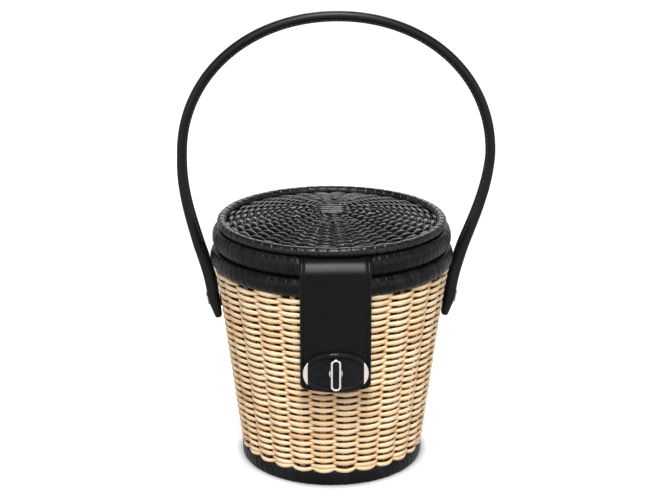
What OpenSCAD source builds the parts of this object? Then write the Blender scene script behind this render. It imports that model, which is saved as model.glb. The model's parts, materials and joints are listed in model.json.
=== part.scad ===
// Small bucket bag of woven wicker with a hinged woven lid, a leather lock strap and an arched
// leather handle. The bag stands on z = 0, its axis is the Z axis and its front faces -Y.

/* [Bucket] */
// Outer radius of the woven wall at its foot
wall_foot_r = 57.3; // [45:0.1:70]
// Outer radius of the woven wall at its top
wall_top_r = 73.2; // [60:0.1:85]
// How far the top of the wall flares out of its straight side
wall_flare = 0.8; // [0:0.1:3]
// Height of the flared part of the wall
flare_h = 30; // [15:1:40]
// Height of the woven wall between foot ring and rim
wall_h = 116.9; // [100:0.1:150]
// Thickness of the woven wall
wall_t = 6; // [4:0.1:8]
// Number of upright stakes that the cane is woven round
stakes = 26; // [18:2:30]
// Number of rows of cane woven in the wall
rows = 54; // [40:2:60]
// Depth from a strand in front of a stake down to one that passes behind it
row_relief = 1.6; // [0.5:0.1:2]
// Height of the wrapped foot ring
foot_h = 9.5; // [6:0.1:14]
// Radial thickness of the wrapped foot ring
foot_t = 6; // [4:0.1:10]
// How far the foot ring stands back from the foot of the wall
foot_inset = 0.3; // [0:0.1:2]
// Bow of the foot ring's outer side
foot_bow = 1.4; // [0.5:0.1:3]
// Thickness of the bottom board
board_t = 4; // [2.5:0.1:6]
// Height of the wrapped rim
rim_h = 11.4; // [8:0.1:16]
// Radial thickness of the wrapped rim
rim_t = 8.8; // [6:0.1:11]
// How far the rim stands out over the wall
rim_over = 1.8; // [1:0.1:5]
// Bow of the rim's outer side
rim_bow = 3.6; // [1:0.1:5]

/* [Lid] */
// Height of the wrapped lower hoop of the lid
hoop_h = 12.3; // [9:0.1:18]
// Radial thickness of the lower hoop
hoop_t = 10.5; // [9:0.1:14]
// How far the lower hoop stands back from the rim
hoop_inset = 1.4; // [0:0.1:4]
// Bow of the lower hoop's outer side
hoop_bow = 2.6; // [1:0.1:5]
// Thickness of the round wrapped border of the lid
border_d = 5.8; // [4:0.1:8]
// How far the border stands back from the lower hoop
border_inset = 3; // [2.5:0.1:4]
// Thickness of the woven lid panel
panel_t = 3; // [2.4:0.1:5]
// Height of the panel's dome above its edge
panel_dome = 7; // [2:0.1:12]
// Number of spokes in the lid panel
spokes = 32; // [16:2:32]
// Number of rings of cane woven round the panel's centre
rings = 26; // [14:2:26]
// Depth from a strand over a spoke down to one that passes under it
panel_relief = 1.4; // [0.4:0.1:1.6]

/* [Strap and lock] */
// Width of the strap
strap_w = 41.5; // [36:0.1:50]
// Thickness of the strap leather
strap_t = 2.4; // [1.8:0.1:3]
// Drop of the strap from the top of the lower hoop to its end
strap_drop = 80.4; // [70:0.1:90]
// Height of the strap's curved end
strap_end_bow = 3.3; // [1:0.1:8]
// Inner radius of the bend over the hoop
strap_bend_r = 5.2; // [2:0.1:7]
// Width of the oval lock plate
lock_w = 39; // [32:0.1:41]
// Height of the oval lock plate
lock_h = 24.5; // [20:0.1:28]
// Fullness of the lock plate's oval, 1 for an ellipse and less for blunter ends
lock_full = 0.89; // [0.7:0.01:1]
// Thickness of the lock plate
lock_t = 3; // [2:0.1:4]
// Width of the lock plate's raised border
lock_border = 2.8; // [1.5:0.1:5]
// Depth of the lock plate's sunk field
lock_sink = 1.2; // [0.4:0.1:1.5]
// Leather left below the lock plate
lock_margin = 1.1; // [0.3:0.1:4]
// Length of the turning bar
bar_l = 20; // [14:0.1:26]
// Width of the turning bar
bar_w = 6.4; // [5:0.1:9]
// Thickness of the turning bar
bar_t = 3.2; // [2:0.1:5]
// Diameter of the turning bar's spindle
spindle_d = 4; // [3:0.1:4.5]
// Length of the catch behind the strap
catch_l = 14; // [10:0.1:15]
// Width of the catch
catch_w = 4; // [3:0.1:5]
// Thickness of the catch
catch_t = 2; // [1.2:0.1:2.2]
// Thickness of the back plate behind the leather
back_plate_t = 1; // [0.8:0.1:1.5]
// Width of the keeper on the wall
keeper_w = 27; // [24:0.1:34]
// Thickness of the keeper's slotted face
keeper_t = 1.4; // [1:0.1:1.8]
// Solid part of the keeper below its slot
keeper_sill = 3; // [2:0.1:6]

/* [Hinge] */
// Width of the hinge leather
hinge_w = 30; // [20:0.1:40]
// Length of the hinge leather below the rim
hinge_drop = 26; // [20:0.1:40]
// Distance between the two hinge rivets
hinge_rivet_gap = 16; // [10:0.1:18]

/* [Handle] */
// Thickness of the rolled handle at the top
handle_t = 6.2; // [5:0.1:9]
// Thickness of the handle at the rim
handle_tab_t = 7.6; // [6:0.1:10]
// Width of the flat handle ends
handle_tab_w = 11; // [9:0.1:16]
// How far the arch stands out over the rim on each side
arch_flare = 18.8; // [14:0.1:30]
// Height of the arch's widest place above the rim
arch_up = 56.2; // [40:0.1:80]
// Rise of the arch above its widest place
arch_rise = 84.9; // [60:0.1:120]
// Fullness of the arch, 1 for half an ellipse and less for a squarer arch
arch_full = 0.97; // [0.85:0.01:1]
// Sideways lean of the arch
arch_lean = 3.1; // [-5:0.1:5]
// Distance of the handle rivets below the rim
pivot_drop = 23.4; // [18:0.1:32]
// Length of the handle ends below their rivets
tab_end = 12.4; // [11:0.1:18]
// Diameter of the rivet shanks
rivet_d = 4; // [3:0.1:5]
// Diameter of the rivet heads
rivet_head_d = 8; // [6:0.1:9]

/* [Clearances] */
// Gap between pieces that move past each other
run_gap = 0.3; // [0.2:0.05:0.6]
// Gap between pieces that are fixed to each other
seat_gap = 0.1; // [0.05:0.05:0.2]
// Radial gap of a turning shank in its hole
bore_gap = 0.05; // [0.02:0.01:0.1]

/* [Hidden] */
$fn = 96;

wicker = [0.87, 0.71, 0.5];
black_cane = [0.09, 0.09, 0.09];
black_leather = [0.06, 0.06, 0.06];
board_wood = [0.72, 0.56, 0.37];
polished = [0.86, 0.84, 0.82];
fit_reach = 100;

// Heights of the stacked rings
wall_z = foot_h;
rim_z = wall_z + wall_h;
rim_top = rim_z + rim_h;
hoop_z = rim_top + run_gap;
hoop_top = hoop_z + hoop_h;

// Radii of the stacked rings
foot_r = wall_foot_r - foot_inset;
rim_r = wall_top_r + rim_over;
hoop_r = rim_r - hoop_inset;
border_r = hoop_r - border_inset;
panel_r = border_r - border_d - seat_gap;
wall_line_r = wall_top_r - wall_flare;
flare_z = rim_z - flare_h;
function wall_r(z) = wall_foot_r + (wall_line_r - wall_foot_r) * (z - wall_z) / wall_h
  + wall_flare * pow(max(0, z - flare_z) / flare_h, 2);

// Heights of the lock and of the keeper behind it
strap_end_z = hoop_top - strap_drop;
lock_z = strap_end_z + lock_margin + lock_h / 2;
catch_play = 0.6;
keeper_slot_z = lock_z - catch_l / 2 - catch_play;
keeper_z = keeper_slot_z - keeper_sill;
keeper_lip = 2.4;
keeper_top = lock_z + catch_l / 2 + catch_play + keeper_lip;

// Places along the strap, given as distances in front of the axis. The strap clears the rim and
// leaves room in front of the wall for the keeper and the catch
post_head_t = 0.4;
keeper_seat_t = 1.1;
lock_depth = back_plate_t + post_head_t + 2 * run_gap + keeper_t + catch_t + catch_play
  + keeper_seat_t;
strap_back = max(rim_r + run_gap, wall_r(keeper_top) + lock_depth) + seat_gap;
strap_front = strap_back + strap_t;
tongue_in = panel_r + seat_gap;
lock_front = strap_front + lock_t;
post_d = 2.6;
post_x = lock_w / 4;
post_head_d = 4.4;
post_tip = strap_back - back_plate_t - post_head_t;
back_plate_w = 2 * post_x + 7;
back_plate_h = 15;
hub_d = 8;
field_front = lock_front - lock_sink;
bar_back = lock_front + run_gap;
keeper_front = post_tip - run_gap;
keeper_inner = keeper_front - keeper_t;
catch_front = keeper_inner - run_gap;
catch_back = catch_front - catch_t;
keeper_floor = catch_back - catch_play;
keeper_room = catch_l + 2 * catch_play;
keeper_rivet_d = 2.4;
keeper_rivet_head_d = 4.2;
keeper_rivet_x = (keeper_room / 2 + keeper_w / 2) / 2;
keeper_rivet_z = keeper_z + 5;
keeper_rivet_sink = 0.9;
inner_burr_d = 6;
inner_burr_t = 0.9;

// Hinge at the back, turning about the outer face of the leather
hinge_back = rim_r + seat_gap;
hinge_front = hinge_back + strap_t;
hinge_end_z = rim_z - hinge_drop;
hinge_rivet_z = hinge_end_z + hinge_drop / 3;
hinge_rivet_head_t = 1;

// Handle
pivot_z = rim_z - pivot_drop;
tab_gap = 0.9;
tab_x = wall_r(pivot_z) + tab_gap;
tab_full_t = 7;
tab_tip_t = 3.4;
tab_taper = 13;
tab_tilt = 1.3;
tab_narrow = 0.4;
tab_root = 3;
rim_hug = 1;
handle_sides = 12;
handle_full = 0.8;
arch_x = rim_r + arch_flare;
arch_z = rim_top + arch_up;
arch_ease = 34;
head_sink = 1.8;

// Largest distance from the axis at which a flat disc of radius d/2, turned towards the axis
// at height z and side offset s, still lies inside the wall
function inner_seat(z, s, d) =
  sqrt(pow(wall_r(z - d / 2) - wall_t, 2) - pow(abs(s) + d / 2, 2)) - seat_gap;

// Faces of a surface of k rings with n points each, closed into a loop or by flat ends
function loop_faces(k, n, closed) = concat(
  [for (i = [0 : closed ? k - 1 : k - 2], j = [0 : n - 1], half = [0, 1])
    let (a = i, b = (i + 1) % k, c = j, d = (j + 1) % n)
    half == 0 ? [a * n + c, b * n + c, b * n + d] : [a * n + c, b * n + d, a * n + d]],
  closed ? [] : [[for (j = [0 : n - 1]) j], [for (j = [n - 1 : -1 : 0]) (k - 1) * n + j]]);

function flatten(lists) = [for (list = lists, item = list) item];

// Plain weave: how deep the cane lies in row i at half step j round the stakes. Every second
// point is on a stake, where the rows pass in front and behind in turn; the others lie halfway
function weave_depth(i, j, relief) =
  j % 2 == 1 ? relief / 2 : (i + j / 2) % 2 == 0 ? 0 : relief;

// Ring of points round the axis, two for each stake
function round_ring(r, z, n) =
  [for (j = [0 : 2 * n - 1]) [r * cos(j * 180 / n), r * sin(j * 180 / n), z]];

// Cosine drawn towards its ends by the power p, for outlines blunter than an ellipse
function full_cos(a, p) = sign(cos(a)) * pow(abs(cos(a)), p);

// Oval outline
module oval(w, h) {
  points = 64;
  polygon([for (i = [0 : points - 1])
    let (a = (i + 0.5) * 360 / points)
    [w / 2 * full_cos(a, lock_full), h / 2 * full_cos(a - 90, lock_full)]]);
}

// Section of a wrapped hoop: flat inside, top and bottom, with a bowed outer side
module hoop_section(r, z, h, t, bow) {
  bow_r = (h * h / 4 + bow * bow) / (2 * bow);
  intersection() {
    translate([r - t, z]) square([t, h]);
    translate([r - bow_r, z + h / 2]) circle(bow_r);
  }
}

// Outline drawn in x and z, standing in a plane across Y, from front to back distance
module upright(front, back) {
  translate([0, -back, 0]) rotate([90, 0, 0]) linear_extrude(front - back) children();
}

// Profile drawn in distance from the axis and z, extruded to width w, centred on X
module across(w) {
  translate([-w / 2, 0, 0]) rotate([90, 0, 90]) linear_extrude(w) children();
}

// Round bar along Y at x, z, between two distances in front of the axis
module front_bar(x, z, d, front, back) {
  translate([x, -back, z]) rotate([90, 0, 0]) cylinder(d = d, h = front - back);
}

// Leather over the lower hoop: a tongue under the border, a bend and a straight drop
module over_hoop_profile(back, end_z) {
  bend_x = back - strap_bend_r;
  bend_z = hoop_top - strap_t - strap_bend_r;
  translate([tongue_in, hoop_top - strap_t]) square([bend_x - tongue_in, strap_t]);
  translate([back, end_z]) square([strap_t, bend_z - end_z]);
  intersection() {
    difference() {
      translate([bend_x, bend_z]) circle(strap_bend_r + strap_t);
      translate([bend_x, bend_z]) circle(strap_bend_r);
    }
    translate([bend_x, bend_z]) square(strap_bend_r + strap_t);
  }
}

// Woven wall: rows of cane in plain weave round the stakes, with holes for the rivets
module basket_wall() {
  outer = [for (i = [0 : rows])
    let (z = wall_z + wall_h * i / rows)
    [for (j = [0 : 2 * stakes - 1])
      let (a = j * 180 / stakes, r = wall_r(z) - weave_depth(i, j, row_relief))
      [r * cos(a), r * sin(a), z]]];
  inner = [for (z = [rim_z, (rim_z + flare_z) / 2, flare_z, wall_z])
    round_ring(wall_r(z) - wall_t, z, stakes)];
  levels = concat(outer, inner);
  color(wicker) difference() {
    polyhedron(flatten(levels), loop_faces(len(levels), 2 * stakes, true));
    handle_shanks(rivet_d + 2 * seat_gap);
    keeper_holes(keeper_rivet_d, fit_reach, 0);
    for (s = [-1, 1])
      front_bar(s * hinge_rivet_gap / 2, hinge_rivet_z, keeper_rivet_d + 2 * seat_gap, 0, -fit_reach);
  }
}

// Flat board that closes the bucket inside the foot ring
module bottom_board() {
  color(board_wood) cylinder(r = foot_r - foot_t - seat_gap, h = board_t);
}

// Wrapped ring that the bag stands on
module foot_ring() {
  color(black_cane) rotate_extrude() hoop_section(foot_r, 0, foot_h, foot_t, foot_bow);
}

// Wrapped rim on top of the wall
module rim_ring() {
  color(black_cane) rotate_extrude() hoop_section(rim_r, rim_z, rim_h, rim_t, rim_bow);
}

// Domed lid panel of cane in plain weave round radial spokes
module lid_panel() {
  hub_r = 6;
  edge_flat = 1.5;
  rise_r = panel_r - edge_flat;
  function dome(r) = panel_dome * (1 - pow(min(r, rise_r) / rise_r, 2));
  hub = [round_ring(hub_r, hoop_top + panel_t + dome(hub_r), spokes)];
  top = [for (i = [1 : rings])
    let (r = hub_r + (rise_r - hub_r) * i / rings, z = hoop_top + panel_t + dome(r))
    [for (j = [0 : 2 * spokes - 1])
      let (a = j * 180 / spokes)
      [r * cos(a), r * sin(a), z - weave_depth(i, j, panel_relief)]]];
  edge = [round_ring(panel_r, hoop_top + panel_t - panel_relief, spokes),
    round_ring(panel_r, hoop_top, spokes)];
  under = [round_ring(panel_r - 2, hoop_top, spokes),
    round_ring(panel_r / 2, hoop_top + dome(panel_r / 2), spokes),
    round_ring(hub_r, hoop_top + dome(hub_r), spokes)];
  levels = concat(hub, top, edge, under);
  color(black_cane) polyhedron(flatten(levels), loop_faces(len(levels), 2 * spokes, false));
}

// Round wrapped border that holds the panel's edge down on the lower hoop
module lid_border() {
  flat = 0.2;
  color(black_cane) rotate_extrude() intersection() {
    translate([border_r - border_d / 2, hoop_top + border_d / 2 - flat]) circle(d = border_d);
    translate([border_r - border_d, hoop_top]) square(border_d);
  }
}

// Room in the hoop for the leather that lies over it, rounded under the leather's bend
module leather_notch(w, back) {
  bend = [back - strap_bend_r, hoop_top - strap_t - strap_bend_r];
  across(w + 2 * seat_gap) {
    translate([tongue_in - seat_gap, hoop_top - strap_t]) square(fit_reach);
    difference() {
      translate(bend) square(fit_reach);
      translate(bend) circle(strap_bend_r - seat_gap);
    }
  }
}

// Lower hoop of the lid, notched where the leather passes under the border
module lid_hoop() {
  color(black_cane) difference() {
    rotate_extrude() hoop_section(hoop_r, hoop_z, hoop_h, hoop_t, hoop_bow);
    rotate([0, 0, 180]) leather_notch(strap_w, strap_back);
    leather_notch(hinge_w, hinge_back);
  }
}

// Strap that hangs over the hoop and the rim, with a bowed end and a hole for the spindle
module lock_strap() {
  bow_r = (strap_w * strap_w / 4 + strap_end_bow * strap_end_bow) / (2 * strap_end_bow);
  color(black_leather) difference() {
    intersection() {
      rotate([0, 0, 180]) across(strap_w) over_hoop_profile(strap_back, strap_end_z);
      upright(fit_reach, 0) union() {
        translate([-strap_w / 2, strap_end_z + strap_end_bow]) square([strap_w, strap_drop]);
        intersection() {
          translate([0, strap_end_z + bow_r]) circle(bow_r);
          translate([-strap_w / 2, strap_end_z]) square([strap_w, 2 * strap_end_bow]);
        }
      }
    }
    front_bar(0, lock_z, spindle_d + 2 * run_gap, fit_reach, 0);
    for (s = [-1, 1])
      front_bar(s * post_x, lock_z, post_d + 2 * seat_gap, fit_reach, 0);
  }
}

// Oval lock plate with a raised border, a sunk field and two posts riveted over behind
module lock_plate() {
  edge = 0.6;
  color(polished) difference() {
    union() {
      translate([0, 0, lock_z]) {
        upright(lock_front - edge, strap_front) oval(lock_w, lock_h);
        upright(lock_front, lock_front - edge) oval(lock_w - 2 * edge, lock_h - 2 * edge);
      }
      for (s = [-1, 1]) {
        front_bar(s * post_x, lock_z, post_d, strap_front, post_tip);
        front_bar(s * post_x, lock_z, post_head_d, strap_back - back_plate_t, post_tip);
      }
    }
    translate([0, 0, lock_z])
      upright(lock_front + 1, field_front)
        oval(lock_w - 2 * lock_border, lock_h - 2 * lock_border);
    front_bar(0, lock_z, spindle_d + 2 * bore_gap, fit_reach, 0);
  }
}

// Plate that clamps the leather from behind
module lock_back_plate() {
  color(polished) difference() {
    translate([0, 0, lock_z])
      upright(strap_back, strap_back - back_plate_t) oval(back_plate_w, back_plate_h);
    front_bar(0, lock_z, spindle_d + 2 * bore_gap, fit_reach, 0);
    for (s = [-1, 1])
      front_bar(s * post_x, lock_z, post_d + 2 * seat_gap, fit_reach, 0);
  }
}

// Turning bar with its spindle and the catch that turns behind the keeper's face
module turn_bar() {
  module bar_outline(l, w) {
    square([w, l - w], center = true);
    for (s = [-1, 1])
      translate([0, s * (l - w) / 2]) circle(d = w);
  }
  edge = 0.7;
  color(polished) {
    translate([0, 0, lock_z]) {
      upright(bar_back + bar_t - edge, bar_back) bar_outline(bar_l, bar_w);
      upright(bar_back + bar_t, bar_back + bar_t - edge)
        bar_outline(bar_l - 2 * edge, bar_w - 2 * edge);
      upright(catch_front, catch_back) bar_outline(catch_l, catch_w);
    }
    front_bar(0, lock_z, hub_d, bar_back, field_front + run_gap);
    front_bar(0, lock_z, spindle_d, field_front + run_gap, catch_front);
  }
}

// Outline of the keeper, open upwards from its sill over the width w
module keeper_outline(w) {
  difference() {
    translate([-keeper_w / 2, keeper_z]) square([keeper_w, keeper_top - keeper_z]);
    translate([-w / 2, keeper_slot_z]) square([w, keeper_top]);
  }
}

// Holes for the keeper's rivets
module keeper_holes(d, front, back) {
  for (s = [-1, 1])
    front_bar(s * keeper_rivet_x, keeper_rivet_z, d + 2 * seat_gap, front, back);
}

// Seat of the keeper, shaped to the wall behind and flat in front
module keeper_base() {
  color(polished) difference() {
    translate([-keeper_w / 2, -keeper_floor, keeper_z])
      cube([keeper_w, keeper_floor, keeper_top - keeper_z]);
    translate([0, 0, wall_z])
      cylinder(r1 = wall_foot_r + seat_gap, r2 = wall_line_r + seat_gap, h = wall_h);
    keeper_holes(keeper_rivet_d, fit_reach, 0);
  }
}

// Spacer that leaves a room for the catch, open at the top
module keeper_rails() {
  color(polished) difference() {
    upright(keeper_inner, keeper_floor) keeper_outline(keeper_room);
    keeper_holes(keeper_rivet_d, fit_reach, 0);
  }
}

// Slotted face that the turned catch lies behind
module keeper_face() {
  color(polished) difference() {
    upright(keeper_front, keeper_inner) keeper_outline(catch_w + 2 * catch_play);
    keeper_holes(keeper_rivet_d, fit_reach, 0);
    keeper_holes(keeper_rivet_head_d, fit_reach, keeper_front - keeper_rivet_sink);
  }
}

// Two rivets that hold the keeper, sunk in its face and spread inside the wall
module keeper_rivets() {
  seat = inner_seat(keeper_rivet_z, keeper_rivet_x, inner_burr_d);
  color(polished) for (s = [-1, 1]) {
    front_bar(s * keeper_rivet_x, keeper_rivet_z, keeper_rivet_head_d, keeper_front,
      keeper_front - keeper_rivet_sink);
    front_bar(s * keeper_rivet_x, keeper_rivet_z, keeper_rivet_d, keeper_front, seat - inner_burr_t);
    front_bar(s * keeper_rivet_x, keeper_rivet_z, inner_burr_d, seat, seat - inner_burr_t);
  }
}

// Half of the hinge leather that is fixed to the lid
module hinge_lid_leaf() {
  color(black_leather) across(hinge_w) over_hoop_profile(hinge_back, hoop_z);
}

// Half of the hinge leather that is fixed to the wall
module hinge_bag_leaf() {
  color(black_leather) difference() {
    across(hinge_w) hinge_bag_profile();
    for (s = [-1, 1])
      front_bar(s * hinge_rivet_gap / 2, hinge_rivet_z, keeper_rivet_d + 2 * seat_gap, 0, -fit_reach);
  }
}

// Leather that drops over the rim and then lies along the wall
module hinge_bag_profile() {
  lie_z = rim_z - strap_bend_r * 3;
  lie_r = wall_r(lie_z) + seat_gap;
  end_r = wall_r(hinge_end_z) + seat_gap;
  polygon([[hinge_back, rim_top], [hinge_back, rim_z], [lie_r, lie_z], [end_r, hinge_end_z],
    [end_r + strap_t, hinge_end_z], [lie_r + strap_t, lie_z], [hinge_front, rim_z],
    [hinge_front, rim_top]]);
}

// Two rivets that hold the hinge leather on the wall
module hinge_rivets() {
  head = wall_r(hinge_rivet_z + keeper_rivet_head_d / 2) + strap_t + 2 * seat_gap;
  seat = inner_seat(hinge_rivet_z, hinge_rivet_gap / 2, inner_burr_d);
  color(polished) for (s = [-1, 1])
    rotate([0, 0, 180]) {
      front_bar(s * hinge_rivet_gap / 2, hinge_rivet_z, keeper_rivet_head_d,
        head + hinge_rivet_head_t, head);
      front_bar(s * hinge_rivet_gap / 2, hinge_rivet_z, keeper_rivet_d,
        head + hinge_rivet_head_t, seat - inner_burr_t);
      front_bar(s * hinge_rivet_gap / 2, hinge_rivet_z, inner_burr_d, seat, seat - inner_burr_t);
    }
}

// Point on a cubic curve with the control points p
function cubic(p, t) = pow(1 - t, 3) * p[0] + 3 * t * pow(1 - t, 2) * p[1]
  + 3 * t * t * (1 - t) * p[2] + pow(t, 3) * p[3];

// One side of the handle, from the tip to the top: place x, z with thickness and width
tab_steps = [for (d = [tab_end, tab_end * 0.75, tab_end * 0.5, tab_end * 0.2, 0])
  let (taper = max(0, d - (tab_end - tab_taper)) / tab_taper,
    t = tab_full_t - (tab_full_t - tab_tip_t) * taper)
  [tab_x - tab_tilt * d / tab_end + t / 2, pivot_z - d, t, handle_tab_w * (1 - tab_narrow * taper)]];
sweep_start = [wall_r(pivot_z + tab_root) + tab_gap + tab_full_t / 2, pivot_z + tab_root];
sweep_curve = [sweep_start, [rim_r + rim_hug, rim_z + rim_h / 2],
  [arch_x, arch_z - arch_ease], [arch_x, arch_z]];
sweep_steps = [for (t = [0 : 0.1 : 0.95])
  let (p = cubic(sweep_curve, t), b = min(1, t / 0.3), u = max(0, (t - 0.4) / 0.6))
  [p[0], p[1], tab_full_t + (handle_tab_t - tab_full_t) * b - (handle_tab_t - handle_t) * u,
    handle_tab_w + (handle_t - handle_tab_w) * min(1, t / 0.7)]];
arch_steps = [for (a = [0 : 7.5 : 90])
  [arch_x * full_cos(a, arch_full), arch_z + arch_rise * full_cos(90 - a, arch_full),
    handle_t, handle_t]];
half_path = concat(tab_steps, sweep_steps, arch_steps);
half_count = len(half_path);
function lean(z) = arch_lean * max(0, min(1, (z - rim_top) / (arch_z - rim_top)));
path = [for (i = [0 : 2 * half_count - 2])
  let (side = i < half_count ? 1 : -1, p = half_path[side > 0 ? i : 2 * half_count - 2 - i])
  [side * p[0] + lean(p[1]), p[1], p[2], p[3]]];

// Section of the handle at step i, square to the path and rounded all round
function handle_section(i) =
  let (last = len(path) - 1, a = path[max(0, i - 1)], b = path[min(last, i + 1)],
    d = atan2(b[1] - a[1], b[0] - a[0]) - 90, p = path[i])
  [for (j = [0 : handle_sides - 1])
    let (turn = j * 360 / handle_sides, u = full_cos(turn, handle_full) * p[2] / 2,
      v = full_cos(turn - 90, handle_full) * p[3] / 2)
    [p[0] + u * cos(d), v, p[1] + u * sin(d)]];

// Arched leather handle with flat ends that turn on the side rivets
module handle() {
  sections = [for (i = [0 : len(path) - 1]) handle_section(i)];
  color(black_leather) difference() {
    polyhedron(flatten(sections), loop_faces(len(sections), handle_sides, false));
    handle_shanks(rivet_d + 2 * bore_gap);
    for (s = [-1, 1])
      translate([s * (tab_x + tab_full_t - head_sink), 0, pivot_z]) rotate([0, s * 90, 0])
        cylinder(d = rivet_head_d + 2 * run_gap, h = tab_full_t);
  }
}

// Shank places of the two handle rivets
module handle_shanks(d) {
  for (s = [-1, 1])
    translate([0, 0, pivot_z]) rotate([0, s * 90, 0]) cylinder(d = d, h = fit_reach);
}

// Two rivets that the handle turns on, with sunk heads outside and burrs inside the wall
module handle_rivets() {
  seat = inner_seat(pivot_z, 0, rivet_head_d);
  head = tab_x + tab_full_t - head_sink + run_gap;
  burr_t = 1;
  head_t = 1.4;
  color(polished) for (s = [-1, 1])
    translate([0, 0, pivot_z]) rotate([0, s * 90, 0]) {
      translate([0, 0, seat - burr_t]) cylinder(d = rivet_head_d, h = burr_t);
      translate([0, 0, seat - burr_t]) cylinder(d = rivet_d, h = head + head_t - seat + burr_t);
      translate([0, 0, head]) cylinder(d = rivet_head_d, h = head_t);
    }
}

basket_wall();
bottom_board();
foot_ring();
rim_ring();
lid_panel();
lid_border();
lid_hoop();
lock_strap();
lock_plate();
lock_back_plate();
turn_bar();
keeper_base();
keeper_rails();
keeper_face();
keeper_rivets();
hinge_lid_leaf();
hinge_bag_leaf();
hinge_rivets();
handle();
handle_rivets();
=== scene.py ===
import json
import math

import bmesh
import bpy
import numpy as np
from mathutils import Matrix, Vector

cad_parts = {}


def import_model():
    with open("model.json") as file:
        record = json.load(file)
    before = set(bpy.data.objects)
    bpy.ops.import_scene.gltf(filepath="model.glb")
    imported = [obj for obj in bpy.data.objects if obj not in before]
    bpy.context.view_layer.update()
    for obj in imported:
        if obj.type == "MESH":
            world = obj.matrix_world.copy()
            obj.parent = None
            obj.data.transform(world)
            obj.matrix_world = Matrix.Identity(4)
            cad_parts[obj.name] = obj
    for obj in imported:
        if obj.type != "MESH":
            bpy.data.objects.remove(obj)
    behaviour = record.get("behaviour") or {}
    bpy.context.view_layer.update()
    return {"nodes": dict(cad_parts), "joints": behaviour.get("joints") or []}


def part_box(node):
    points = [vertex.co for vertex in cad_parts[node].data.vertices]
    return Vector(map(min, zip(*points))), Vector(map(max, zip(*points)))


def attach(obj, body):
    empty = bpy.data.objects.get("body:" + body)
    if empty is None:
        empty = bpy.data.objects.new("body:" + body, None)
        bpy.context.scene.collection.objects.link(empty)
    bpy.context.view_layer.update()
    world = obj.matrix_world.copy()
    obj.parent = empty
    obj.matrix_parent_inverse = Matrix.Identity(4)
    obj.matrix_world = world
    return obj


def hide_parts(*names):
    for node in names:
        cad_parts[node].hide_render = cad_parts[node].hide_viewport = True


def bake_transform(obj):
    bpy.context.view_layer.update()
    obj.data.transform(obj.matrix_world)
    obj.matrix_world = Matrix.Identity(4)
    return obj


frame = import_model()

# Lengths are millimetres in the part's frame. Meshes are written in metres, and the stage, the
# lamps and the shaders' distances are metres too.
MM = 0.001
rng = np.random.default_rng(11)


def mm_box(node):
    """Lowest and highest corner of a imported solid."""
    lo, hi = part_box(node)
    return np.array(lo) / MM, np.array(hi) / MM


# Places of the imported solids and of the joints
foot_lo, foot_hi = mm_box("foot_ring")
wall_lo, wall_hi = mm_box("basket_wall")
rim_lo, rim_hi = mm_box("rim_ring")
hoop_lo, hoop_hi = mm_box("lid_hoop")
border_lo, border_hi = mm_box("lid_border")
panel_hi = mm_box("lid_panel")[1]
strap_lo, strap_hi = mm_box("lock_strap")
plate_lo, plate_hi = mm_box("lock_plate")
bar_lo, bar_hi = mm_box("turn_bar")
bag_leaf_lo, bag_leaf_hi = mm_box("hinge_bag_leaf")
lid_leaf_lo = mm_box("hinge_lid_leaf")[0]
handle_lo, handle_hi = mm_box("handle")
joints = {j["name"]: j for j in frame["joints"]}
PIVOT_Z = joints["handle_swing"]["pos_m"][2] / MM
HINGE_Z = joints["lid_hinge"]["pos_m"][2] / MM

FOOT_R, RIM_R, HOOP_R = foot_hi[0], rim_hi[0], hoop_hi[0]
FOOT_T, RIM_T, HOOP_T = 6.0, 8.8, 10.5
BORDER_R, PANEL_R, HOOP_TOP = border_hi[0], panel_hi[0], hoop_hi[2]
LEATHER_T = 2.4

# The wall is a cone that flares a little more towards the rim
WALL_Z0, WALL_Z1 = wall_lo[2], wall_hi[2]
WALL_FOOT_R, WALL_TOP_R = FOOT_R + 0.3, RIM_R - 1.8
WALL_FLARE, FLARE_H = 0.8, 30.0


def wall_r(z):
    """Outer radius of the wall at height z."""
    share = (z - WALL_Z0) / (WALL_Z1 - WALL_Z0)
    flare = np.maximum(0, z - (WALL_Z1 - FLARE_H)) / FLARE_H
    straight = (WALL_TOP_R - WALL_FLARE - WALL_FOOT_R) * share
    return WALL_FOOT_R + straight + WALL_FLARE * flare ** 2


# Points, faces and objects

def full_turn(count, start=0.0):
    """Angles of count points evenly spaced round a circle."""
    return (np.arange(count) + start) / count * 2 * np.pi


def stack(x, y, z):
    """Points from three coordinates, each spread to the shape that they share."""
    return np.stack(np.broadcast_arrays(x, y, z), -1)


def around(r, angle, z):
    """Points at radius r and height z round the bucket's axis."""
    return stack(r * np.cos(angle), r * np.sin(angle), z)


def beside(r, side, angle, z):
    """Points at radius r in one direction and side across it."""
    c, s = math.cos(angle), math.sin(angle)
    return stack(r * c - side * s, r * s + side * c, z)


def eased(value, power):
    """Values from -1 to 1 raised to a power with their sign kept."""
    return np.sign(value) * np.abs(value) ** power


def smooth_step(x, low, high):
    t = np.clip((x - low) / (high - low), 0, 1)
    return t * t * (3 - 2 * t)


def run_length(line):
    """Distance along a line of points, from its start to each of them."""
    return np.concatenate([[0], np.cumsum(np.linalg.norm(np.diff(line, axis=0), axis=1))])


def wavy(count, knots, amount):
    """Smooth closed random curve of count values through knots random ones."""
    values = rng.normal(0, amount, knots)
    x = np.linspace(0, knots, count, endpoint=False)
    i = x.astype(int)
    f = 0.5 - 0.5 * np.cos(np.pi * (x - i))
    return values[i] * (1 - f) + values[(i + 1) % knots] * f


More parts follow.
